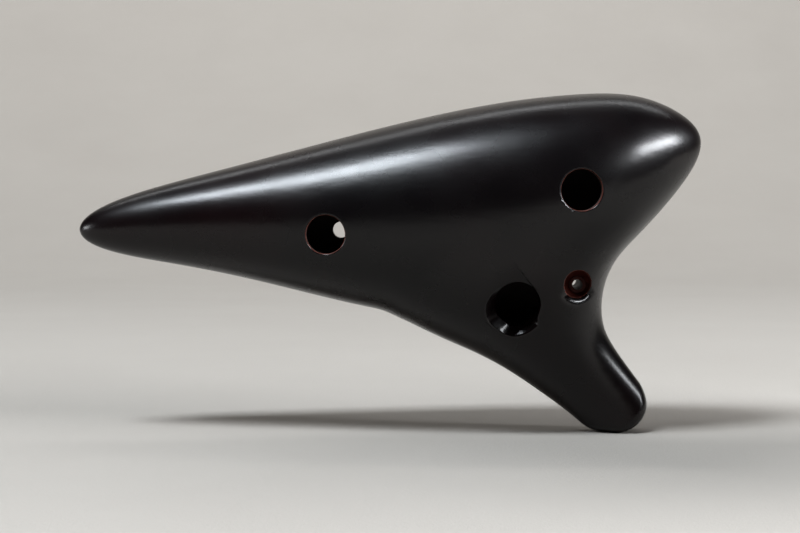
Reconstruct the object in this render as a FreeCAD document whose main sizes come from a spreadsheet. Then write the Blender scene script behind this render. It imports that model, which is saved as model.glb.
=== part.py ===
# Twelve-hole transverse alto ocarina, upright as it is displayed: the tail to the left, the mouthpiece
# pointing down and to the right.  The two body shells meet on the XZ plane.
# -Y is the thumb side with the sound hole, +Y is the side of the finger holes.
import FreeCAD, Part
import math
import os

OUT_FOLDER = "parts"
doc = FreeCAD.newDocument("ocarina")

# ---------------------------------------------------------------- driving dimensions (mm, degrees)
DIMENSIONS = {
    "wall_thickness": 4.4,
    "belly_half_height": 28.9,
    "flattening": 0.17,
    # half the size of the blocks that divide the outer shape
    "reach": 120.0,
    "tail_tip_x": -85.0,
    "tail_tip_height": 55.6,
    "head_tip_x": 85.0,
    "head_tip_height": 78.9,
    # the mouthpiece axis runs from the tip up and to the left
    "mouth_tip_x": 62.7,
    "mouth_tip_height": 5.0,
    "mouth_turn": 50.2,
    "neck_fillet": 12.0,
    "tip_fillet": 2.2,
    "tip_corner_x": 61.4,
    "tip_corner_radius": 9.4,
    "rim_round": 0.6,
    # the round holes start this far from the seam, inside the chamber
    "hole_start": 2.0,
    # the mouthpiece is a separate piece up to this distance from its tip
    "neck_joint": 22.0,
    "block_width": 9.0,
    "block_start": 2.0,
    "block_end": 35.4,
    "block_floor": -4.0,
    "block_fit": 0.05,
    "windway_width": 8.0,
    "windway_gap": 1.3,
    "windway_start": -10.0,
    "windway_entry_depth": 0.8,
    "windway_exit_depth": 12.0,
    # the sound hole and the ramp that leads down to its voicing edge
    "sound_hole_x": 33.8,
    "sound_hole_height": 36.1,
    "sound_hole_radius": 6.2,
    "sound_hole_floor": 11.0,
    "sound_rim_round": 1.5,
    "ramp_start": 46.6,
    "ramp_end": 56.0,
    "ramp_start_depth": 17.0,
    "ramp_end_depth": 21.4,
    "ramp_width": 16.0,
    "ramp_aside": 2.0,
    "strap_hole_x": 50.6,
    "strap_hole_height": 41.0,
    "strap_hole_radius": 1.4,
    "strap_sleeve_radius": 2.2,
    "strap_dish_radius": 3.9,
    "strap_dish_start": 9.5,
    "strap_dish_end": 12.5,
    # the tongue on the edge of the front shell and its groove in the rear shell
    "tongue_outside": 1.5,
    "tongue_inside": 2.9,
    "groove_outside": 1.4,
    "groove_inside": 3.0,
    "tongue_height": 1.5,
    "tongue_root": 1.0,
    "tongue_stop": 58.0,
    "groove_clearance": 0.1,
}

# Body sections from tail to head: station along X, height of the centre, half the height.
BODY_STATIONS = [
    (-84.0, 55.7, 2.3),
    (-81.0, 55.9, 4.6),
    (-74.0, 56.4, 7.4),
    (-60.0, 57.3, 11.0),
    (-40.0, 58.0, 15.7),
    (-18.0, 58.2, 21.4),
    (6.0, 58.9, 26.8),
    (30.0, 61.4, 28.9),
    (52.0, 66.5, 26.0),
    (67.0, 72.6, 19.4),
    (77.0, 76.4, 12.2),
    (83.0, 78.4, 5.7),
]

# Mouthpiece sections from beyond the tip inwards: distance from the tip, reach to the left and to the right of
# the axis, half the thickness.
MOUTH_STATIONS = [
    (-10.0, 8.7, 9.7, 6.4),
    (0.0, 9.0, 9.8, 6.6),
    (8.0, 10.1, 10.2, 7.6),
    (15.0, 11.7, 10.9, 9.2),
    (21.0, 13.3, 12.3, 11.2),
    (28.0, 15.5, 15.8, 14.0),
    (36.0, 18.5, 19.6, 17.0),
    (46.0, 22.6, 19.6, 20.2),
    (60.0, 28.6, 12.0, 16.5),
]

# The throat joins the chamber to the windway and the sound hole, listed in the same way.
THROAT_STATIONS = [
    (35.4, 9.5, 7.5, 13.4),
    (46.0, 15.0, 10.0, 16.2),
    (60.0, 17.0, 11.0, 14.2),
]

# Holes through the shells along Y: name, place along X, height, radius.
THUMB_HOLES = [
    ("left_thumb", 50.4, 66.6, 5.5),
    ("right_thumb", -16.9, 54.8, 5.2),
]
FINGER_HOLES = [
    ("left_index", 20.0, 66.0, 3.8),
    ("left_middle", 35.0, 73.0, 3.6),
    ("left_ring", 49.0, 78.0, 3.3),
    ("left_little", 64.5, 64.0, 3.0),
    ("left_sub", 30.5, 62.0, 2.2),
    ("right_index", 2.0, 60.0, 3.7),
    ("right_middle", -22.0, 63.0, 3.2),
    ("right_ring", -40.0, 58.5, 2.75),
    ("right_little", -58.0, 59.0, 2.3),
    ("right_sub", -13.9, 55.0, 2.3),
]

sheet = doc.addObject("Spreadsheet::Sheet", "Dims")


def fill_sheet():
    rows = dict(DIMENSIONS)
    for number, (along, centre, half) in enumerate(BODY_STATIONS):
        rows[f"body_x_{number}"] = along
        rows[f"body_centre_{number}"] = centre
        rows[f"body_half_{number}"] = half
    for prefix, stations in (("mouth", MOUTH_STATIONS), ("throat", THROAT_STATIONS)):
        for number, (along, left, right, thickness) in enumerate(stations):
            rows[f"{prefix}_along_{number}"] = along
            rows[f"{prefix}_left_{number}"] = left
            rows[f"{prefix}_right_{number}"] = right
            rows[f"{prefix}_thick_{number}"] = thickness
    for name, along, height, radius in THUMB_HOLES + FINGER_HOLES:
        rows[f"{name}_x"] = along
        rows[f"{name}_height"] = height
        rows[f"{name}_radius"] = radius
    for row, (alias, value) in enumerate(rows.items(), start=1):
        sheet.set(f"A{row}", alias)
        sheet.set(f"B{row}", str(value))
        sheet.setAlias(f"B{row}", alias)
    doc.recompute()


def size(alias):
    return float(sheet.get(alias))


# ---------------------------------------------------------------- helpers
TURN_ABOUT_Y = FreeCAD.Vector(0, 1, 0)
SQUARE_TURN = 90.0
UPRIGHT = FreeCAD.Rotation(TURN_ABOUT_Y, -SQUARE_TURN)
# how near to an expected place an edge has to be to be taken for it
CLOSE = 0.4
# an inset body has no section nearer to its tip than this many insets
TIP_CLEAR = 1.4
INTO_FRONT = FreeCAD.Rotation(FreeCAD.Vector(1, 0, 0), -SQUARE_TURN)
INTO_REAR = FreeCAD.Rotation(FreeCAD.Vector(1, 0, 0), SQUARE_TURN)


def add(kind, name, placed=None, **sizes):
    """Add a feature whose sizes and placement are expressions on the sheet."""
    item = doc.addObject(kind, name)
    if placed is not None:
        item.Placement = placed
    for prop, expression in sizes.items():
        item.setExpression(prop.replace("__", "."), expression)
    return item


def combine(kind, name, base, tool):
    item = doc.addObject(kind, name)
    item.Base = base
    item.Tool = tool
    return item


def cut_all(name, base, tools):
    """Cut several tools from a base, one after another; the last cut carries the name."""
    for number, tool in enumerate(tools[:-1]):
        base = combine("Part::Cut", f"{name}_cut_{number}", base, tool)
    return combine("Part::Cut", name, base, tools[-1])


def mouth_point(along, aside):
    """Expressions for the place at a distance along the mouthpiece axis and to the left of it."""
    x = f"Dims.mouth_tip_x - ({along}) * cos(Dims.mouth_turn) - ({aside}) * sin(Dims.mouth_turn)"
    z = f"Dims.mouth_tip_height + ({along}) * sin(Dims.mouth_turn) - ({aside}) * cos(Dims.mouth_turn)"
    return x, z


def loft(name, sections):
    item = doc.addObject("Part::Loft", name)
    item.Sections = sections
    item.Solid = True
    item.Ruled = False
    return item


def body_loft(name, inset):
    """The egg-shaped body, or the same shape with its surface moved inwards by an inset."""
    depth = size(inset) if inset else 0.0
    shrink = f"Dims.{inset}" if inset else "0"
    tail = add("Part::Vertex", f"{name}_tail", X=f"Dims.tail_tip_x + {shrink}", Z="Dims.tail_tip_height")
    head = add("Part::Vertex", f"{name}_head", X=f"Dims.head_tip_x - {shrink}", Z="Dims.head_tip_height")
    sections = [tail]
    clear = TIP_CLEAR * depth
    for number, (along, centre, half) in enumerate(BODY_STATIONS):
        inside = size("tail_tip_x") + clear < along < size("head_tip_x") - clear
        if not inside:
            continue
        half_height = f"Dims.body_half_{number}"
        flat = f"(1 - Dims.flattening * ({half_height} / Dims.belly_half_height) ^ 2)"
        sections.append(add(
            "Part::Ellipse", f"{name}_section_{number}", FreeCAD.Placement(FreeCAD.Vector(), UPRIGHT),
            MajorRadius=f"{half_height} - {shrink}",
            MinorRadius=f"{half_height} * {flat} - {shrink}",
            Placement__Base__x=f"Dims.body_x_{number}",
            Placement__Base__z=f"Dims.body_centre_{number}"))
    sections.append(head)
    return loft(name, sections)


def mouth_loft(prefix, stations):
    """A limb of oval sections square to the mouthpiece axis."""
    turn = FreeCAD.Rotation(TURN_ABOUT_Y, SQUARE_TURN + size("mouth_turn"))
    sections = []
    for number, (_, reach_left, reach_right, half_thickness) in enumerate(stations):
        left = f"Dims.{prefix}_left_{number}"
        right = f"Dims.{prefix}_right_{number}"
        x, z = mouth_point(f"Dims.{prefix}_along_{number}", f"({left} - {right}) / 2")
        wide = f"({left} + {right}) / 2"
        thick = f"Dims.{prefix}_thick_{number}"
        lying = reach_left + reach_right >= 2 * half_thickness
        rotation = turn if lying else turn.multiply(FreeCAD.Rotation(FreeCAD.Vector(0, 0, 1), SQUARE_TURN))
        sections.append(add(
            "Part::Ellipse", f"{prefix}_section_{number}", FreeCAD.Placement(FreeCAD.Vector(), rotation),
            MajorRadius=wide if lying else thick,
            MinorRadius=thick if lying else wide,
            Placement__Base__x=x,
            Placement__Base__z=z))
    return loft(f"{prefix}_limb", sections)


def mouth_bar(name, start, end, half_width, start_depths, end_depths, aside="0"):
    """A tapered bar along the mouthpiece axis; depths are measured from the seam to the thumb side."""
    angle = math.radians(size("mouth_turn"))
    right = FreeCAD.Vector(math.sin(angle), 0, math.cos(angle))
    along = FreeCAD.Vector(-math.cos(angle), 0, math.sin(angle))
    rearward = FreeCAD.Vector(0, -1, 0)
    return add(
        "Part::Wedge", name, FreeCAD.Placement(FreeCAD.Vector(), FreeCAD.Rotation(right, along, rearward)),
        Ymin=start, Ymax=end,
        Xmin=f"-({aside}) - ({half_width})", Xmax=f"{half_width} - ({aside})",
        X2min=f"-({aside}) - ({half_width})", X2max=f"{half_width} - ({aside})",
        Zmin=start_depths[0], Zmax=start_depths[1],
        Z2min=end_depths[0], Z2max=end_depths[1],
        Placement__Base__x="Dims.mouth_tip_x",
        Placement__Base__z="Dims.mouth_tip_height")


def cross_hole(name, x, z, radius, start, end):
    """A round hole along Y between two depths."""
    return add(
        "Part::Cylinder", name, FreeCAD.Placement(FreeCAD.Vector(), INTO_FRONT),
        Radius=radius, Height=f"({end}) - ({start})",
        Placement__Base__x=x, Placement__Base__y=start, Placement__Base__z=z)


def fillet(name, base, edges):
    """Round numbered edges; edges is a list of (edge number, radius)."""
    item = doc.addObject("Part::Fillet", name)
    item.Base = base
    item.Edges = [(number, radius, radius) for number, radius in edges]
    doc.recompute()
    return item


def edges_where(item, wanted):
    """The numbers of the edges of an item that a test picks out."""
    doc.recompute()
    return [number for number, edge in enumerate(item.Shape.Edges, start=1) if wanted(edge)]


def rim_edges(item, names, rounding):
    """The outer rims of round holes along Y, with their rounding radius; the flat cut of the ramp stays sharp."""
    rims = []
    for name in names:
        reach = size(f"{name}_radius") + CLOSE
        arcs = []
        for number, edge in enumerate(item.Shape.Edges, start=1):
            box = edge.BoundBox
            beside = max(abs(box.XMax - size(f"{name}_x")), abs(box.XMin - size(f"{name}_x")),
                         abs(box.ZMax - size(f"{name}_height")), abs(box.ZMin - size(f"{name}_height")))
            across = max(box.XLength, box.ZLength) > CLOSE
            if beside < reach and across and edge.Curve.TypeId == "Part::GeomBSplineCurve":
                arcs.append((abs(box.Center.y), number))
        middle = (min(arcs)[0] + max(arcs)[0]) / 2
        rims += [(number, size(rounding)) for depth, number in arcs if depth > middle]
    return rims


# ---------------------------------------------------------------- shared shapes
def tip_former():
    """What the mouthpiece is trimmed to: level below, with one round corner on the right."""
    block = add(
        "Part::Box", "tip_block", None,
        Length="Dims.reach", Width="2 * Dims.reach", Height="Dims.reach",
        Placement__Base__x="Dims.tip_corner_x + Dims.tip_corner_radius - Dims.reach",
        Placement__Base__y="-Dims.reach")
    right = size("tip_corner_x") + size("tip_corner_radius")
    corner = edges_where(block, lambda edge: edge.BoundBox.XMin > right - CLOSE and edge.BoundBox.ZMax < CLOSE)
    return fillet("tip_former", block, [(number, size("tip_corner_radius")) for number in corner])


def outer_shape():
    """Body and mouthpiece as one smooth outside, with the neck and the tip rounded."""
    limb = combine("Part::Common", "mouth_trimmed", mouth_loft("mouth", MOUTH_STATIONS), tip_former())
    joined = combine("Part::Fuse", "outer_joined", body_loft("outer_body", None), limb)
    neck = edges_where(joined, lambda edge: edge.BoundBox.YLength > size("belly_half_height"))
    smooth = fillet("outer_neck", joined, [(number, size("neck_fillet")) for number in neck])
    low = size("sound_hole_height") / 2
    rim = edges_where(smooth, lambda edge: edge.BoundBox.ZMax < low and edge.BoundBox.YLength > CLOSE)
    return fillet("outer_shape", smooth, [(number, size("tip_fillet")) for number in rim])


def side_box(name, front):
    """The half of space on one side of the seam."""
    return add(
        "Part::Box", name, None,
        Length="2 * Dims.reach", Width="Dims.reach", Height="2 * Dims.reach",
        Placement__Base__x="-Dims.reach", Placement__Base__y="0" if front else "-Dims.reach",
        Placement__Base__z="-Dims.reach")


def hole_tools(holes, front):
    """The round holes that one shell gets; each starts in the chamber and passes through the wall."""
    tools = []
    for name, _, _, _ in holes:
        start, end = ("Dims.hole_start", "Dims.reach") if front else ("-Dims.reach", "-Dims.hole_start")
        tools.append(cross_hole(name, f"Dims.{name}_x", f"Dims.{name}_height", f"Dims.{name}_radius",
                                start, end))
    return tools


def strap_dish(name, front):
    """The cone that opens the strap hole towards one side."""
    return add(
        "Part::Cone", name,
        FreeCAD.Placement(FreeCAD.Vector(), INTO_FRONT if front else INTO_REAR),
        Radius1="Dims.strap_sleeve_radius", Radius2="2 * Dims.strap_dish_radius - Dims.strap_sleeve_radius",
        Height="2 * (Dims.strap_dish_end - Dims.strap_dish_start)",
        Placement__Base__x="Dims.strap_hole_x",
        Placement__Base__y="Dims.strap_dish_start" if front else "-Dims.strap_dish_start",
        Placement__Base__z="Dims.strap_hole_height")


SLOPE = "((Dims.windway_exit_depth - Dims.windway_entry_depth) / (Dims.block_end - Dims.block_start))"


def windway_depth(along):
    """Depth of the windway floor at a distance from the tip of the mouthpiece."""
    return f"(Dims.windway_entry_depth + {SLOPE} * (({along}) - Dims.block_start))"


def windway_bar(name, start, end):
    """The flat air channel above the block."""
    low, high = windway_depth(start), windway_depth(end)
    return mouth_bar(name, start, end, "Dims.windway_width / 2",
                     (low, f"{low} + Dims.windway_gap"), (high, f"{high} + Dims.windway_gap"))


def block_bar(name, start, end, play):
    """The wedge of the block, or with some play the pocket that holds it."""
    floor = f"Dims.block_floor - {play}"
    return mouth_bar(name, start, end, f"Dims.block_width / 2 + {play}",
                     (floor, windway_depth(start)), (floor, windway_depth(end)))


def seam_ring(name, height, root):
    """A strip in the middle of the wall along the seam, left out round the neck.

    The name says which insets of the body bound it. It reaches into the rear shell by its height and into the
    front shell by its root.
    """
    sides = combine("Part::Cut", f"{name}_sides",
                    body_loft(f"{name}_outer", f"{name}_outside"),
                    body_loft(f"{name}_inner", f"{name}_inside"))
    slab = add(
        "Part::Box", f"{name}_slab", None,
        Length="2 * Dims.reach", Width=f"{height} + {root}", Height="2 * Dims.reach",
        Placement__Base__x="-Dims.reach", Placement__Base__y=f"-({height})", Placement__Base__z="-Dims.reach")
    strip = combine("Part::Common", f"{name}_strip", sides, slab)
    neck = mouth_bar(f"{name}_neck", "0", "Dims.tongue_stop", "Dims.reach",
                     ("-Dims.reach", "Dims.reach"), ("-Dims.reach", "Dims.reach"))
    return combine("Part::Cut", name, strip, neck)


fill_sheet()
outer = outer_shape()
mouth_zone = mouth_bar("mouth_zone", "-Dims.reach", "Dims.neck_joint", "Dims.reach",
                       ("-Dims.reach", "Dims.reach"), ("-Dims.reach", "Dims.reach"))
chamber = combine("Part::Fuse", "chamber", body_loft("chamber_body", "wall_thickness"),
                  mouth_loft("throat", THROAT_STATIONS))
windway = windway_bar("windway", "Dims.windway_start", "Dims.block_end + Dims.block_start")
pocket = block_bar("block_pocket", "Dims.block_start", "Dims.block_end + Dims.block_start", "Dims.block_fit")
strap_bore = cross_hole("strap_bore", "Dims.strap_hole_x", "Dims.strap_hole_height",
                        "Dims.strap_sleeve_radius", "-Dims.strap_dish_end", "Dims.strap_dish_end")


def make_mouthpiece():
    blank = combine("Part::Common", "mouth_blank", outer, mouth_zone)
    return cut_all("mouthpiece", blank, [windway, pocket])


def make_front_shell():
    half = combine("Part::Common", "front_half", outer, side_box("front_side", True))
    tools = [mouth_zone, chamber, pocket, strap_bore, strap_dish("front_dish", True)]
    shell = cut_all("front_open", half, tools + hole_tools(FINGER_HOLES, True))
    tongue = seam_ring("tongue", "Dims.tongue_height", "Dims.tongue_root")
    joined = combine("Part::Fuse", "front_joined", shell, tongue)
    doc.recompute()
    return fillet("front_shell", joined, rim_edges(joined, [hole[0] for hole in FINGER_HOLES], "rim_round"))


def make_rear_shell():
    half = combine("Part::Common", "rear_half", outer, side_box("rear_side", False))
    sound_hole = cross_hole("sound_hole", "Dims.sound_hole_x", "Dims.sound_hole_height",
                            "Dims.sound_hole_radius", "-Dims.reach", "-Dims.sound_hole_floor")
    ramp = mouth_bar("ramp", "Dims.ramp_start", "Dims.ramp_end", "Dims.ramp_width / 2",
                     ("Dims.ramp_start_depth", "Dims.reach"), ("Dims.ramp_end_depth", "Dims.reach"),
                     "Dims.ramp_aside")
    tools = [mouth_zone, chamber, windway, pocket, strap_bore, strap_dish("rear_dish", False),
             seam_ring("groove", "Dims.tongue_height + Dims.groove_clearance", "0"), sound_hole, ramp]
    shell = cut_all("rear_open", half, tools + hole_tools(THUMB_HOLES, False))
    doc.recompute()
    rims = rim_edges(shell, [hole[0] for hole in THUMB_HOLES], "rim_round")
    return fillet("rear_shell", shell, rims + rim_edges(shell, ["sound_hole"], "sound_rim_round"))


def make_windway_block():
    return block_bar("windway_block", "Dims.block_start", "Dims.block_end", "0")


def make_strap_sleeve():
    tube = cross_hole("sleeve_tube", "Dims.strap_hole_x", "Dims.strap_hole_height",
                      "Dims.strap_sleeve_radius", "-Dims.strap_dish_start", "Dims.strap_dish_start")
    opening = cross_hole("sleeve_opening", "Dims.strap_hole_x", "Dims.strap_hole_height",
                         "Dims.strap_hole_radius", "-Dims.reach", "Dims.reach")
    return combine("Part::Cut", "strap_sleeve", tube, opening)


# ---------------------------------------------------------------- build, check and write
def write_nodes(nodes):
    doc.recompute()
    for item in doc.Objects:
        if "Invalid" in item.State or "Error" in item.State:
            raise RuntimeError(f"{item.Name} did not build: {item.State}")
    os.makedirs(OUT_FOLDER, exist_ok=True)
    for item in nodes:
        item.Label = item.Name
        shape = item.Shape
        if shape.isNull() or not shape.isValid() or len(shape.Solids) != 1:
            raise RuntimeError(f"{item.Name} is not one valid solid")
        shape.exportStep(f"{OUT_FOLDER}/{item.Name}.step")
        print(item.Name, round(shape.Volume), shape.optimalBoundingBox())


write_nodes([make_rear_shell(), make_front_shell(), make_mouthpiece(), make_windway_block(),
             make_strap_sleeve()])
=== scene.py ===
import bpy
import bmesh
import math
import numpy as np
import openvdb
from mathutils import Matrix, Vector


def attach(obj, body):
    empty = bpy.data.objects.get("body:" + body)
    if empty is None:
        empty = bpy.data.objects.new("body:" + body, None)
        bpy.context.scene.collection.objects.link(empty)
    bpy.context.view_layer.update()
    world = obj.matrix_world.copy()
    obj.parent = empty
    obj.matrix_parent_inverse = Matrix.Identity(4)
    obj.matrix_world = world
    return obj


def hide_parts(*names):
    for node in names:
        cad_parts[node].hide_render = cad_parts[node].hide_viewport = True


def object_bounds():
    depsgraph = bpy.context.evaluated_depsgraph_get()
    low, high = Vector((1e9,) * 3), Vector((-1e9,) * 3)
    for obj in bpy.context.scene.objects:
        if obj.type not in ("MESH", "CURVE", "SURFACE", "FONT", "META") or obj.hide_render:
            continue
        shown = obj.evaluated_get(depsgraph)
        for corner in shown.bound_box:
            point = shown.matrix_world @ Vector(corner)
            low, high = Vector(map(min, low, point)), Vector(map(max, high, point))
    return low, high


# Twelve-hole ocarina.  Its outside is one smooth surface worked out as a field: below zero inside the
# wall, zero on the surface.  The field is meshed, cut at the joints of the pieces and lacquered.
# Shapes are worked out in millimetres in the frame's own axes; MM turns them into metres.
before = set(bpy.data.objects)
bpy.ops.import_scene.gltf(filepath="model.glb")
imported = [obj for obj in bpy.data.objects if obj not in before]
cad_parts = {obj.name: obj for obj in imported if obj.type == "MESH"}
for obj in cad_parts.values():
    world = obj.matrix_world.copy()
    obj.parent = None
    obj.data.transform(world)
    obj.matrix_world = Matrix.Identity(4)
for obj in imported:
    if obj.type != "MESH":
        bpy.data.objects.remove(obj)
cad_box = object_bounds()
MM = 0.001
# the step of the grid that the field is meshed on, and how readily flat stretches are merged into large faces
VOXEL = 0.36
ADAPTIVITY = 0.003

# ---------------------------------------------------------------- shape of the body
LOW, HIGH = (np.array(corner) / MM for corner in cad_box)
TAIL_X, HEAD_X = -85.0, 85.0
# how much thinner than high the body is where half its height is BELLY; it is rounder where it is lower
BELLY, FLATTENING = 28.9, 0.17
WALL = 4.4
# half the size that the chamber keeps where the walls would close it
THINNEST = 0.01
# place along X and height of the centre line
CENTRE_LINE = [
    (-85, 55.6), (-60, 57.3), (-30, 58.1), (0, 58.6), (30, 61.4), (52, 66.5), (70, 73.8), (85, 79.1),
]
# place along X and half the height that a full ellipse would have there
FULLNESS = [
    (-85, 15.2), (-60, 15.5), (-30, 19.3), (0, 25.3), (30, 30.7), (52, 32.9), (70, 30.9), (85, 25.6),
]

# ---------------------------------------------------------------- shape of the mouthpiece
TIP = (62.7, 5.0)
TURN = math.radians(50.2)
TIP_ROUND = 2.4
# centre and radius of the rounded corner at the tip
TIP_CORNER = (61.4, 9.4, 9.4)
MOUTH_ROOT = 66.0
MOUTH_ROOT_ROUND = 8.0
# width of the soft valley between body and mouthpiece, and where the two are cut apart along the axis
NECK_BLEND = 9.0
NECK_JOINT = 22.0
# distance from the tip, reach to the left, reach to the right, half the thickness
MOUTH = [
    (-10, 8.6, 9.6, 6.4), (0, 9.0, 9.9, 6.6), (8, 10.1, 10.3, 7.6), (15, 11.7, 10.9, 9.1),
    (21, 13.3, 12.4, 11.0), (28, 15.4, 17.0, 13.6), (36, 18.5, 22.3, 16.6), (46, 23.0, 23.4, 19.4),
    (60, 25.8, 15.3, 16.5), (75, 21.5, 8.0, 6.0),
]
# the throat between the windway and the chamber, in the same order
THROAT = [(35.4, 9.5, 7.5, 13.4), (46, 15.0, 10.0, 16.2), (60, 17.0, 11.0, 14.2), (70, 12.0, 8.0, 6.0)]

# ---------------------------------------------------------------- holes: place along X, height, radius
THUMB_HOLES = [(50.4, 66.6, 5.5), (-16.9, 54.8, 5.2)]
FINGER_HOLES = [
    (20.0, 66.0, 3.8), (35.0, 73.0, 3.6), (49.0, 78.0, 3.3), (64.5, 64.0, 3.0), (30.5, 62.0, 2.2),
    (2.0, 60.0, 3.7), (-22.0, 63.0, 3.2), (-40.0, 58.5, 2.75), (-58.0, 59.0, 2.3), (-13.9, 55.0, 2.3),
]
HOLE_RIM = 0.45

# ---------------------------------------------------------------- sound hole, its ramp and the strap hole
SOUND_HOLE = (33.8, 36.1)
# its edge: direction from its centre in degrees, distance from the centre, width and slope of the bevel there
SOUND_EDGE = [
    (-46, 6.3, 2.3, 1.15), (-20, 6.2, 0.3, 0.6), (100, 6.2, 0.3, 0.6), (206, 5.5, 4.1, 1.04),
    (232, 5.3, 3.9, 1.06), (258, 5.9, 3.4, 1.10), (314, 6.3, 2.3, 1.15),
]
# how far past its outer line the bevel takes to bend, and the rounding of the edge of the hole
SOUND_BEND, SOUND_RIM = 1.0, 0.35
# the ramp towards the voicing edge: where it starts along the axis, and where its right wall stands
RAMP_START, RAMP_RIGHT = 42.4, -4.05
# the distance of its floor from the seam at the start, its change along the axis, its change to the left
RAMP_DEPTH, RAMP_ALONG, RAMP_ASIDE = 18.45, 0.38, -0.125
RAMP_EDGE = 0.45
STRAP_HOLE = (50.6, 41.0)
# the mouth of the strap hole, whose centre is a little beside that of the bore: place and radius
STRAP_MOUTH = (50.1, 41.5, 3.75)
# the bevel of its lower edge, which fades in over STRAP_FADE below the centre: width, slope and bend
STRAP_BEVEL, STRAP_SLOPE, STRAP_BEND = 2.5, 0.9, 2.8
STRAP_FADE = 3.2
STRAP_RIM = 0.25
# the funnel down to the lining: how far from the seam it starts to open, and how steeply
STRAP_FLOOR_Y, FUNNEL_SLOPE = 8.7, 2.0
STRAP_BORE = 2.2
# the lacquer stops this far below the outside, and this far outside the mouth of the strap hole
BARE_BELOW, STRAP_BARE = 0.2, 0.1
# how fast the mark for bare rises inside the strap hole, and its highest value there
BARE_RISE, STRAP_MARK = 8, 0.8

# ---------------------------------------------------------------- windway and its block
BLOCK_START, BLOCK_END, BLOCK_FLOOR, BLOCK_WIDTH = 2.0, 35.4, -4.0, 9.0
# how far the windway and the pocket of the block run on into the throat
INTO_THROAT = 2.0
THROAT_BLEND = 3.0
WINDWAY_WIDTH, WINDWAY_GAP = 8.0, 1.3
WINDWAY_IN, WINDWAY_OUT = 0.8, 12.0


# ---------------------------------------------------------------- field helpers
def spline(points):
    """A natural cubic through (place, value) points, level beyond its ends."""
    xs, ys = np.array(points, dtype=float).T
    steps = np.diff(xs)
    count = len(xs)
    matrix = np.eye(count)
    right = np.zeros(count)
    for i in range(1, count - 1):
        matrix[i, i - 1:i + 2] = steps[i - 1], 2 * (steps[i - 1] + steps[i]), steps[i]
        right[i] = 6 * ((ys[i + 1] - ys[i]) / steps[i] - (ys[i] - ys[i - 1]) / steps[i - 1])
    bend = np.linalg.solve(matrix, right)

    def value(place):
        place = np.clip(place, xs[0], xs[-1])
        i = np.clip(np.searchsorted(xs, place) - 1, 0, count - 2)
        after = (place - xs[i]) / steps[i]
        before = 1 - after
        curve = (before ** 3 - before) * bend[i] + (after ** 3 - after) * bend[i + 1]
        return before * ys[i] + after * ys[i + 1] + curve * steps[i] ** 2 / 6

    return value


def blend_join(a, b, width):
    """Join two solids with a soft valley between them."""
    share = np.clip(0.5 + 0.5 * (b - a) / width, 0, 1)
    return b + (a - b) * share - width * share * (1 - share)


def round_cut(a, b, radius):
    """What is inside both solids, with a rounded edge."""
    corner = np.hypot(np.maximum(radius + a, 0), np.maximum(radius + b, 0))
    return np.minimum(-radius, np.maximum(a, b)) + corner


def flat_distance(profile, x, y, z):
    """Distance to the surface where y squared equals the profile of x and z."""
    step = 0.05
    here = profile(x, z)
    slope_x = (profile(x + step, z) - profile(x - step, z)) / (2 * step)
    slope_z = (profile(x, z + step) - profile(x, z - step)) / (2 * step)
    steep = (slope_x ** 2 + slope_z ** 2).astype(np.float32)
    return (y * y - here.astype(np.float32)) / np.sqrt(4 * y * y + steep + np.float32(0.01))


centre_height = spline(CENTRE_LINE)
fullness = spline(FULLNESS)
mouth_left = spline([(row[0], row[1]) for row in MOUTH])
mouth_right = spline([(row[0], row[2]) for row in MOUTH])
mouth_thick = spline([(row[0], row[3]) for row in MOUTH])
throat_left = spline([(row[0], row[1]) for row in THROAT])
throat_right = spline([(row[0], row[2]) for row in THROAT])
throat_thick = spline([(row[0], row[3]) for row in THROAT])


def body_profile(x, z):
    half = (TAIL_X + HEAD_X) / 2
    squared = fullness(x) ** 2 * (1 - ((x - half) / HEAD_X) ** 2)
    flat = 1 - FLATTENING * np.maximum(squared, 0) / BELLY ** 2
    return flat ** 2 * (squared - (z - centre_height(x)) ** 2)


def chamber_profile(x, z):
    half = (TAIL_X + HEAD_X) / 2
    height = np.sqrt(np.maximum(fullness(x) ** 2 * (1 - ((x - half) / HEAD_X) ** 2), 0))
    flat = 1 - FLATTENING * (height / BELLY) ** 2
    inner = np.maximum(height - WALL, THINNEST)
    depth = np.maximum(height * flat - WALL, THINNEST)
    return depth ** 2 * (1 - ((z - centre_height(x)) / inner) ** 2)


def along_mouth(x, z):
    """Distance along the mouthpiece axis from its tip, and distance to the left of the axis."""
    dx = x - TIP[0]
    dz = z - TIP[1]
    return dz * math.sin(TURN) - dx * math.cos(TURN), -dx * math.sin(TURN) - dz * math.cos(TURN)


def limb_profile(left, right, thick):
    def profile(x, z):
        along, aside = along_mouth(x, z)
        reach_left = left(along)
        reach_right = right(along)
        across = (aside - (reach_left - reach_right) / 2) / ((reach_left + reach_right) / 2)
        return thick(along) ** 2 * (1 - across ** 2)
    return profile


mouth_profile = limb_profile(mouth_left, mouth_right, mouth_thick)
throat_profile = limb_profile(throat_left, throat_right, throat_thick)


def holes_depth(holes, x, z):
    """How far inside the nearest of some round holes a place is."""
    return np.max([radius - np.hypot(x - hole_x, z - hole_z) for hole_x, hole_z, radius in holes], axis=0)


def windway_depth(along):
    return WINDWAY_IN + (WINDWAY_OUT - WINDWAY_IN) * (along - BLOCK_START) / (BLOCK_END - BLOCK_START)


def smooth_step(value, start, end):
    share = np.clip((value - start) / (end - start), 0, 1)
    return share * share * (3 - 2 * share)


def plain_outside(x, y, z):
    """The outside before any hole is cut."""
    along, _ = along_mouth(x, z)
    corner_x, corner_z, corner_radius = TIP_CORNER
    tip = np.hypot(np.maximum(x - corner_x, 0), np.maximum(corner_z - z, 0)) - corner_radius
    mouth = round_cut(flat_distance(mouth_profile, x, y, z), tip, TIP_ROUND)
    mouth = round_cut(mouth, along - MOUTH_ROOT, MOUTH_ROOT_ROUND)
    return blend_join(flat_distance(body_profile, x, y, z), mouth, NECK_BLEND)


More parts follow.
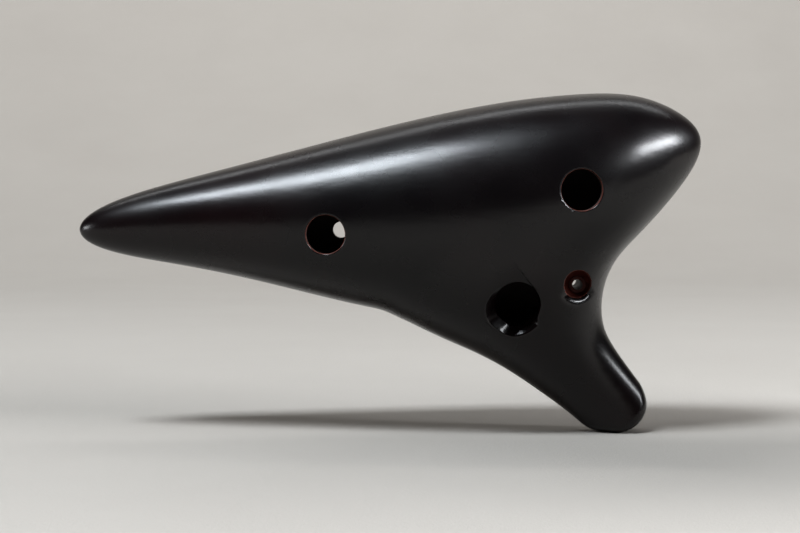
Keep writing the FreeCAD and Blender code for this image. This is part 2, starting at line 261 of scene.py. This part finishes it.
def around_sound_hole(x, z):
    """Direction from the centre of the sound hole in degrees, and distance from it."""
    turn = np.degrees(np.arctan2(z - SOUND_HOLE[1], x - SOUND_HOLE[0]))
    turn = np.where(turn < SOUND_EDGE[0][0], turn + 360, turn)
    return turn, np.hypot(x - SOUND_HOLE[0], z - SOUND_HOLE[1])


def sound_edge(turn):
    """Reach, bevel width and bevel slope of the sound hole, smooth from one stated direction to the next."""
    values = list(SOUND_EDGE[0][1:])
    for before, after in zip(SOUND_EDGE, SOUND_EDGE[1:]):
        share = smooth_step(turn, before[0], after[0])
        for i in range(3):
            values[i] = values[i] + (after[i + 1] - before[i + 1]) * share
    return values


def ramp_depth(x, y, z):
    """How far inside the space above the ramp a place is: a slanting flat with a low wall on its right."""
    along, aside = along_mouth(x, z)
    flat = RAMP_DEPTH + RAMP_ALONG * (along - RAMP_START) + RAMP_ASIDE * aside
    above = (-y - flat) / math.hypot(1, RAMP_ALONG, RAMP_ASIDE)
    return np.minimum(above, np.minimum(aside - RAMP_RIGHT, along - RAMP_START))


def bevel(past, width, slope, bend):
    """How far a bevel sinks the surface at a distance past its outer line: it bends, then slopes evenly."""
    past = np.clip(past, 0, width)
    bent = np.minimum(past, slope * bend)
    return bent ** 2 / (2 * bend) + slope * (past - bent)


def lacquered_outside(x, y, z):
    """The outside with the sound hole and the mouth of the strap hole, which are under the lacquer."""
    solid = plain_outside(x, y, z)
    turn, from_centre = around_sound_hole(x, z)
    reach, width, slope = sound_edge(turn)
    voiced = round_cut(solid, ramp_depth(x, y, z), RAMP_EDGE)
    voiced = voiced + bevel(reach + width - from_centre, width, slope, SOUND_BEND)
    voiced = round_cut(voiced, reach - from_centre, SOUND_RIM)
    solid = np.where(y < 0, voiced, solid)
    from_mouth = np.hypot(x - STRAP_MOUTH[0], z - STRAP_MOUTH[1])
    from_strap = np.hypot(x - STRAP_HOLE[0], z - STRAP_HOLE[1])
    low = smooth_step(STRAP_MOUTH[1] - z, 0.0, STRAP_FADE)
    low_width = STRAP_BEVEL * low
    solid = solid + bevel(STRAP_MOUTH[2] + low_width - from_mouth, low_width, STRAP_SLOPE, STRAP_BEND)
    funnel = np.abs(y) - STRAP_FLOOR_Y - FUNNEL_SLOPE * (from_strap - STRAP_BORE)
    dish = np.minimum(STRAP_MOUTH[2] - from_mouth, funnel / math.hypot(1, FUNNEL_SLOPE))
    return round_cut(solid, dish, STRAP_RIM)


def whole_solid(x, y, z):
    """The two shells and the mouthpiece as one solid, with every hole and hollow."""
    solid = lacquered_outside(x, y, z)
    thumbs = holes_depth(THUMB_HOLES, x, z)
    fingers = holes_depth(FINGER_HOLES, x, z)
    solid = round_cut(solid, np.where(y < 0, thumbs, fingers), HOLE_RIM)
    along, aside = along_mouth(x, z)
    ends = np.maximum(THROAT[0][0] - along, along - MOUTH_ROOT)
    throat = np.maximum(flat_distance(throat_profile, x, y, z), ends)
    chamber = blend_join(flat_distance(chamber_profile, x, y, z), throat, THROAT_BLEND)
    solid = np.maximum(solid, -chamber)
    solid = np.maximum(solid, STRAP_BORE - np.hypot(x - STRAP_HOLE[0], z - STRAP_HOLE[1]))
    floor = windway_depth(along)
    gap = np.abs(-y - floor - WINDWAY_GAP / 2) - WINDWAY_GAP / 2
    inner_end = along - BLOCK_END - INTO_THROAT
    windway = np.maximum(np.abs(aside) - WINDWAY_WIDTH / 2, np.maximum(inner_end, gap))
    pocket = np.maximum(np.maximum(np.abs(aside) - BLOCK_WIDTH / 2, BLOCK_START - along),
                        np.maximum(-y - floor, np.maximum(y + BLOCK_FLOOR, inner_end)))
    return np.maximum(solid, -np.minimum(windway, pocket))


# ---------------------------------------------------------------- meshing
# a face is shaded flat where its direction times the field's slope, both of length one, is below this
TURNED_AWAY = -0.5


def mesh_of(field, voxel):
    """Vertices and faces of a field's surface inside the CAD box."""
    margin = 3 * voxel
    axes = [np.arange(LOW[i] - margin - 1, HIGH[i] + margin + 1, voxel) for i in range(3)]
    x, y, z = (axes[0][:, None, None], axes[1][None, :, None].astype(np.float32), axes[2][None, None, :])
    values = np.asarray(field(x, y, z), dtype=np.float32)
    band = 3 * voxel
    grid = openvdb.FloatGrid(band)
    grid.copyFromArray(np.clip(values, -band, band))
    points, triangles, quads = grid.convertToPolygons(0.0, ADAPTIVITY)
    places = points * voxel + np.array([axis[0] for axis in axes])
    return places, [list(face) for face in triangles] + [list(face) for face in quads]


def slope_at(field, places):
    step = 0.02
    x, y, z = places.T
    return np.stack([
        field(x + step, y, z) - field(x - step, y, z),
        field(x, y + step, z) - field(x, y - step, z),
        field(x, y, z + step) - field(x, y, z - step)], axis=1) / (2 * step)


def settle(field, places, rounds=3, most=0.3):
    """Move points onto the surface of the field, at most a stated distance each round."""
    for _ in range(rounds):
        slope = slope_at(field, places)
        steep = np.maximum((slope ** 2).sum(axis=1), 0.05)
        move = -(field(*places.T) / steep)[:, None] * slope
        length = np.maximum(np.linalg.norm(move, axis=1), 1e-9)
        places = places + move * np.minimum(1, most / length)[:, None]
    return places


def bare_depth(x, y, z):
    """How deep below the lacquer a place is, past the edge where the lacquer stops."""
    from_mouth = np.hypot(x - STRAP_MOUTH[0], z - STRAP_MOUTH[1])
    strap = np.clip((STRAP_MOUTH[2] + STRAP_BARE - from_mouth) * BARE_RISE, -1, STRAP_MARK)
    return np.maximum(-lacquered_outside(x, y, z) - BARE_BELOW, strap)


def whole_mesh():
    places, faces = mesh_of(whole_solid, VOXEL)
    places = settle(whole_solid, places)
    mesh = bpy.data.meshes.new("whole")
    mesh.from_pydata([tuple(place) for place in places * MM], [], faces)
    mesh.validate()
    return mesh


def outward(place_mm, toward):
    """A cutting plane through a place in millimetres, and the direction of the side that is thrown away."""
    return Vector(place_mm) * MM, Vector(toward).normalized()


def close_cut(shape, cut_edges, toward):
    """Cover the flat opening that a cut leaves."""
    covers = bmesh.ops.triangle_fill(shape, edges=cut_edges, use_beauty=True, normal=toward)["geom"]
    for face in covers:
        if isinstance(face, bmesh.types.BMFace):
            face.normal_update()
            if face.normal.dot(toward) < 0:
                face.normal_flip()
            face.smooth = False


def cut_piece(name, source, node, planes):
    """One piece of the body: the whole mesh, cut flat at its joints."""
    shape = bmesh.new()
    shape.from_mesh(source)
    for face in shape.faces:
        face.smooth = True
    for place, toward in planes:
        everything = shape.verts[:] + shape.edges[:] + shape.faces[:]
        result = bmesh.ops.bisect_plane(
            shape, geom=everything, dist=1e-6, plane_co=place, plane_no=toward, clear_outer=True)
        cut = [item for item in result["geom_cut"] if isinstance(item, bmesh.types.BMEdge)]
        close_cut(shape, cut, toward)
    bmesh.ops.triangulate(shape, faces=[face for face in shape.faces if len(face.verts) > 4])
    mesh = bpy.data.meshes.new(name)
    shape.to_mesh(mesh)
    shape.free()
    shade_by_field(mesh)
    piece = bpy.data.objects.new(name, mesh)
    bpy.context.collection.objects.link(piece)
    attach(piece, "root")
    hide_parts(node)
    return piece


def shade_by_field(mesh):
    """Shade by the field's own slope, and mark what is bare and how far it is sunk below the outside."""
    count = len(mesh.vertices)
    places = np.empty(count * 3, dtype=np.float32)
    mesh.vertices.foreach_get("co", places)
    places = places.reshape(count, 3).astype(float) / MM
    slope = slope_at(whole_solid, places)
    slope /= np.maximum(np.linalg.norm(slope, axis=1), 1e-9)[:, None]
    bare = mesh.attributes.new("bare", "FLOAT", "POINT")
    bare.data.foreach_set("value", bare_depth(*places.T).astype(np.float32))
    sunk = mesh.attributes.new("sunk", "FLOAT", "POINT")
    sunk.data.foreach_set("value", -plain_outside(*places.T).astype(np.float32))
    corners = np.empty(len(mesh.loops), dtype=np.int32)
    mesh.loops.foreach_get("vertex_index", corners)
    sides = np.empty(len(mesh.polygons), dtype=np.int32)
    mesh.polygons.foreach_get("loop_total", sides)
    smooth = np.empty(len(mesh.polygons), dtype=bool)
    mesh.polygons.foreach_get("use_smooth", smooth)
    flat = np.empty(len(mesh.polygons) * 3, dtype=np.float32)
    mesh.polygons.foreach_get("normal", flat)
    flat = np.repeat(flat.reshape(-1, 3), sides, axis=0)
    own = slope[corners]
    turned = (own * flat).sum(axis=1) < TURNED_AWAY
    use_flat = turned | ~np.repeat(smooth, sides)
    own[use_flat] = flat[use_flat]
    mesh.normals_split_custom_set([tuple(normal) for normal in own])


whole = whole_mesh()
along_axis = Vector((-math.cos(TURN), 0, math.sin(TURN)))
joint = Vector((TIP[0], 0, TIP[1])) + along_axis * NECK_JOINT
middle = Vector((0, 0, 0))
rear_shell = cut_piece("rear_shell_skin", whole, "rear_shell",
                       [outward(middle, (0, 1, 0)), outward(joint, -along_axis)])
front_shell = cut_piece("front_shell_skin", whole, "front_shell",
                        [outward(middle, (0, -1, 0)), outward(joint, -along_axis)])
mouthpiece = cut_piece("mouthpiece_skin", whole, "mouthpiece", [outward(joint, along_axis)])
bpy.data.meshes.remove(whole)


# ---------------------------------------------------------------- materials
class Nodes:
    """Short names for building a node material."""

    def __init__(self, name):
        self.material = bpy.data.materials.new(name)
        self.material.use_nodes = True
        self.tree = self.material.node_tree
        self.shader = self.tree.nodes["Principled BSDF"]

    def add(self, kind, settings=None, **inputs):
        node = self.tree.nodes.new(kind)
        for key, value in (settings or {}).items():
            setattr(node, key, value)
        for key, value in inputs.items():
            self.feed(node, key.replace("_", " "), value)
        return node

    def feed(self, node, socket, value):
        if isinstance(value, bpy.types.NodeSocket):
            self.tree.links.new(value, node.inputs[socket])
        else:
            node.inputs[socket].default_value = value

    def noise(self, place, scale, detail, roughness=0.5):
        node = self.add("ShaderNodeTexNoise", Vector=place, Scale=scale, Detail=detail, Roughness=roughness)
        return node.outputs["Fac"]

    def spread(self, value, limits, to_low=0.0, to_high=1.0):
        """A number that goes smoothly from to_low to to_high while the value passes from limit to limit."""
        low, high = limits
        node = self.add("ShaderNodeMapRange", {"interpolation_type": "SMOOTHSTEP"}, Value=value,
                        From_Min=low, From_Max=high, To_Min=to_low, To_Max=to_high)
        return node.outputs["Result"]

    def blend(self, share, first, second):
        node = self.add("ShaderNodeMix", {"data_type": "RGBA"})
        self.tree.links.new(share, node.inputs["Factor"])
        for socket, value in ((node.inputs[6], first), (node.inputs[7], second)):
            if isinstance(value, bpy.types.NodeSocket):
                self.tree.links.new(value, socket)
            else:
                socket.default_value = value
        return node.outputs[2]

    def between(self, share, first, second):
        """A number that goes from first to second."""
        node = self.add("ShaderNodeMix", {"data_type": "FLOAT"})
        self.tree.links.new(share, node.inputs[0])
        self.tree.links.new(first, node.inputs[2])
        node.inputs[3].default_value = second
        return node.outputs[0]

    def bump(self, height, size, normal=None):
        strength, distance = size
        node = self.add("ShaderNodeBump", Strength=strength, Distance=distance, Height=height)
        if normal is not None:
            self.feed(node, "Normal", normal)
        return node.outputs["Normal"]


# colours: the lacquer, the bare material, its cut edge at the rims (lighter, partly its own colour and partly
# a painted highlight of the lit rim), the inside of the chamber
LACQUER_DARK = (0.0010, 0.0006, 0.0008, 1)
LACQUER_WARM = (0.0026, 0.0007, 0.0009, 1)
BARE_DARK = (0.024, 0.0048, 0.0034, 1)
BARE_LIGHT = (0.060, 0.0125, 0.0080, 1)
CUT_EDGE_HIGHLIGHT = (0.16, 0.050, 0.036, 1)
INSIDE = (0.060, 0.048, 0.044, 1)
# roughness of the lacquer
LACQUER_SHEEN = 0.27
# the lacquer has gathered at the rims and is glossier there
POOLED_SHEEN = 0.19
BARE_SHEEN = 0.55
LACQUER_SHINE, BARE_SHINE = 0.5, 0.12
LACQUER_IOR = 1.35
# how much the roughness goes down and up from LACQUER_SHEEN, and its limits on the bare material
SHEEN_DOWN, SHEEN_UP = 0.02, 0.025
BARE_SMOOTH, BARE_ROUGH = 0.45, 0.65
# depth in millimetres over which the lacquer gives way to the bare material
BARE_FADE = 0.12
# depths in millimetres between which the lighter cut edge with its painted highlight ends, and between which
# the chamber's own colour starts
EDGE_HIGHLIGHT_ENDS, CHAMBER_STARTS = (0.1, 0.7), (0.9, 2.2)
# how far below the outside the lacquer starts to gather, and where it has gathered fully
POOLING = (0.03, 0.4)
# the part of the range of a noise that a pattern uses
CLOUD_RANGE, PATCH_RANGE = (0.35, 0.7), (0.3, 0.7)
# the lacquer's waves are longer along the body than across it
WAVE_SCALE = (1.0, 3.5, 3.5)
# strength and height in metres of each bump
WAVE_BUMP, GRAIN_BUMP, BARE_BUMP, CLOTH_BUMP = (0.10, 0.0006), (0.05, 0.00008), (0.25, 0.0001), (0.35, 0.0008)
# how fine the patterns are, in features to the metre
CLOUDS, PATCHES, WAVES, GRAIN = 22.0, 60.0, 75.0, 1500.0
MOTTLE, BARE_PATCHES, BARE_GRAIN = 420.0, 300.0, 1800.0
CLOTH_TONE, CLOTH_GRAIN = 9.0, 900.0


def bare_colour(nodes, place):
    return nodes.blend(nodes.noise(place, MOTTLE, 4.0), BARE_DARK, BARE_LIGHT)


def lacquer_material():
    nodes = Nodes("lacquer_over_resin")
    place = nodes.add("ShaderNodeTexCoord").outputs["Object"]
    depth = nodes.add("ShaderNodeAttribute", {"attribute_name": "bare"}).outputs["Fac"]
    bare = nodes.spread(depth, (0.0, BARE_FADE))
    deep = nodes.spread(depth, CHAMBER_STARTS)
    clouds = nodes.spread(nodes.noise(place, CLOUDS, 3.0), CLOUD_RANGE)
    lacquer = nodes.blend(clouds, LACQUER_DARK, LACQUER_WARM)
    # the rim just past the lacquer is painted lighter: partly the cut edge's own colour, partly a painted
    # highlight of the lit rim
    edge_highlight = nodes.spread(depth, EDGE_HIGHLIGHT_ENDS)
    inner = nodes.blend(edge_highlight, CUT_EDGE_HIGHLIGHT, nodes.blend(deep, bare_colour(nodes, place), INSIDE))
    nodes.feed(nodes.shader, "Base Color", nodes.blend(bare, lacquer, inner))
    patches = nodes.noise(place, PATCHES, 5.0)
    patchy = nodes.spread(patches, PATCH_RANGE, LACQUER_SHEEN - SHEEN_DOWN, LACQUER_SHEEN + SHEEN_UP)
    sunk = nodes.add("ShaderNodeAttribute", {"attribute_name": "sunk"}).outputs["Fac"]
    pooled = nodes.between(nodes.spread(sunk, POOLING), patchy, POOLED_SHEEN)
    nodes.feed(nodes.shader, "Roughness", nodes.between(bare, pooled, BARE_SHEEN))
    shine = nodes.spread(depth, (0.0, BARE_FADE), LACQUER_SHINE, BARE_SHINE)
    nodes.feed(nodes.shader, "Specular IOR Level", shine)
    nodes.feed(nodes.shader, "IOR", LACQUER_IOR)
    stretched = nodes.add("ShaderNodeMapping", Vector=place, Scale=WAVE_SCALE).outputs["Vector"]
    waves = nodes.bump(nodes.noise(stretched, WAVES, 2.0), WAVE_BUMP)
    grain = nodes.bump(nodes.noise(place, GRAIN, 2.0), GRAIN_BUMP, waves)
    nodes.feed(nodes.shader, "Normal", grain)
    return nodes.material


def bare_material():
    nodes = Nodes("bare_resin")
    place = nodes.add("ShaderNodeTexCoord").outputs["Object"]
    nodes.feed(nodes.shader, "Base Color", bare_colour(nodes, place))
    patches = nodes.noise(place, BARE_PATCHES, 4.0)
    nodes.feed(nodes.shader, "Roughness", nodes.spread(patches, PATCH_RANGE, BARE_SMOOTH, BARE_ROUGH))
    nodes.feed(nodes.shader, "Specular IOR Level", BARE_SHINE)
    nodes.feed(nodes.shader, "Normal", nodes.bump(nodes.noise(place, BARE_GRAIN, 3.0), BARE_BUMP))
    return nodes.material


lacquer = lacquer_material()
for piece in (rear_shell, front_shell, mouthpiece):
    piece.data.materials.append(lacquer)
bare_resin = bare_material()
for name in ("windway_block", "strap_sleeve"):
    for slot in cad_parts[name].material_slots:
        slot.material = bare_resin

# ---------------------------------------------------------------- stage
CLOTH_DARK, CLOTH_LIGHT = (0.290, 0.268, 0.242, 1), (0.325, 0.302, 0.274, 1)
CLOTH_SHEEN, CLOTH_SHINE = 0.95, 0.1
BEND_STEPS = 24
# name, place, aim, direction of the long side, size in metres, power, colour
LAMPS = [
    ("strip_light", (-0.42, -0.43, 1.07), (0, 0, 0.06), (0.55, 0.16, 0), (0.44, 0.26), 24, (0.86, 0.93, 1.0)),
    ("side_light", (0.935, -0.395, 0.425), (0.06, 0, 0.077), (1, 2.4, 0), (0.6, 0.24), 27, (0.93, 0.96, 1.0)),
    ("left_light", (-1.1, -0.1, 0.16), (0, 0, 0.05), (0, 1, 0), (0.3, 0.2), 3, (0.95, 0.97, 1.0)),
    ("backdrop_light", (0, 0.85, 1.6), (0, 1.7, 0.85), (1, 0, 0), (2.4, 0.6), 37, (0.97, 0.985, 1.0)),
]


def stage_material():
    nodes = Nodes("pale_cloth")
    place = nodes.add("ShaderNodeTexCoord").outputs["Object"]
    tone = nodes.noise(place, CLOTH_TONE, 6.0, 0.6)
    nodes.feed(nodes.shader, "Base Color", nodes.blend(tone, CLOTH_DARK, CLOTH_LIGHT))
    nodes.feed(nodes.shader, "Roughness", CLOTH_SHEEN)
    nodes.feed(nodes.shader, "Specular IOR Level", CLOTH_SHINE)
    nodes.feed(nodes.shader, "Normal", nodes.bump(nodes.noise(place, CLOTH_GRAIN, 6.0, 0.7), CLOTH_BUMP))
    return nodes.material


def sweep(name, front, back, half_width, height, bend):
    """A floor that curves up into a backdrop."""
    shape = bmesh.new()
    line = [(front, 0.0), (back - bend, 0.0)]
    for i in range(1, BEND_STEPS + 1):
        turn = math.radians(90) * i / BEND_STEPS
        line.append((back - bend + bend * math.sin(turn), bend - bend * math.cos(turn)))
    line.append((back, height))
    rows = [[shape.verts.new((side * half_width, y, z)) for side in (-1, 1)] for y, z in line]
    for first, second in zip(rows, rows[1:]):
        shape.faces.new((first[0], first[1], second[1], second[0]))
    mesh = bpy.data.meshes.new(name)
    shape.to_mesh(mesh)
    shape.free()
    for face in mesh.polygons:
        face.use_smooth = True
    floor = bpy.data.objects.new(name, mesh)
    bpy.context.collection.objects.link(floor)
    return floor


floor = sweep("floor", front=-2.2, back=1.8, half_width=2.6, height=2.6, bend=1.15)
floor.data.materials.append(stage_material())


def lamp(name, place, aim, long_way, size, power, colour):
    """A soft rectangular light that faces aim, with its long side turned towards long_way."""
    data = bpy.data.lights.new(name, "AREA")
    data.shape = "RECTANGLE"
    data.size, data.size_y = size
    data.energy = power
    data.color = colour
    item = bpy.data.objects.new(name, data)
    away = (Vector(place) - Vector(aim)).normalized()
    up = away.cross(Vector(long_way)).normalized()
    turn = Matrix((up.cross(away), up, away)).transposed()
    item.matrix_world = Matrix.Translation(place) @ turn.to_4x4()
    bpy.context.collection.objects.link(item)


for row in LAMPS:
    lamp(*row)


def flag(name, centre, half_width, half_height, aim):
    """A black card out of view that keeps a light off the mouthpiece."""
    shape = bmesh.new()
    away = (Vector(aim) - Vector(centre)).normalized()
    level = Vector((-away.y, away.x, 0)).normalized()
    corners = [(-1, -1), (1, -1), (1, 1), (-1, 1)]
    shape.faces.new([
        shape.verts.new(Vector(centre) + level * side * half_width + Vector((0, 0, rise * half_height)))
        for side, rise in corners])
    mesh = bpy.data.meshes.new(name)
    shape.to_mesh(mesh)
    shape.free()
    card = bpy.data.objects.new(name, mesh)
    bpy.context.collection.objects.link(card)
    card.visible_camera = False
    black = Nodes("black_card")
    black.feed(black.shader, "Base Color", (0.004, 0.004, 0.004, 1))
    black.feed(black.shader, "Roughness", 1.0)
    black.feed(black.shader, "Specular IOR Level", 0.0)
    mesh.materials.append(black.material)


flag("light_flag", centre=(0.205, -0.090, 0.082), half_width=0.060, half_height=0.040, aim=(0.06, 0, 0.08))

# ---------------------------------------------------------------- camera and world
LENS, SENSOR, DISTANCE, TILT = 80, 36, 0.488, math.radians(3)
DIM_ROOM = (0.012, 0.012, 0.012, 1)
target = Vector((2.8 * MM, 0, 45.4 * MM))
camera = bpy.data.objects.new("camera", bpy.data.cameras.new("camera"))
camera.data.lens = LENS
camera.data.sensor_width = SENSOR
camera.location = target + DISTANCE * Vector((0, -math.cos(TILT), math.sin(TILT)))
camera.rotation_euler = (target - camera.location).to_track_quat("-Z", "Y").to_euler()
bpy.context.collection.objects.link(camera)
bpy.context.scene.camera = camera
world = bpy.data.worlds.new("world")
bpy.context.scene.world = world
world.use_nodes = True
world.node_tree.nodes["Background"].inputs["Color"].default_value = DIM_ROOM
bpy.context.scene.view_settings.view_transform = "Standard"
